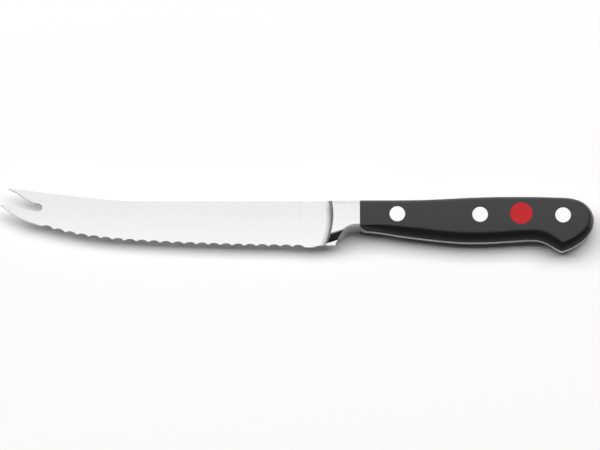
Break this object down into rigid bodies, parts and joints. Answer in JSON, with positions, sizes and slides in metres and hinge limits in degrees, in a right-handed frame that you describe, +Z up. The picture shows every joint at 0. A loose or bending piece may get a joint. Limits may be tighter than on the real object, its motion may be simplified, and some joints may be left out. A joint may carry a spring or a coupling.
{
  "type": "tomato knife",
  "caption": "Kitchen knife with a scalloped edge, a forked tip for lifting slices, a full bolster and a riveted black grip on a full tang.",
  "frame": {"origin": "under the middle of the knife's box, on the surface that it lies on", "axes": "+X from the fork to the butt, +Y from the edge to the spine, +Z up out of the left side"},
  "size_m": [0.2504, 0.0279, 0.0134],
  "materials": {
    "blade_steel": "fine satin grind across the blade, polished bolster",
    "rivet_steel": "polished, ground flush with the grip",
    "handle_plastic": "satin black moulded plastic",
    "red_inlay": "smooth gloss"
  },
  "bodies": {
    "root": {"blade": "blade_steel", "left_scale": "handle_plastic", "right_scale": "handle_plastic", "inlay_disc": "red_inlay", "front_rivet_sleeve": "rivet_steel", "front_rivet_pin": "rivet_steel", "middle_rivet_sleeve": "rivet_steel", "middle_rivet_pin": "rivet_steel", "rear_rivet_sleeve": "rivet_steel", "rear_rivet_pin": "rivet_steel"}
  },
  "joints": []
}
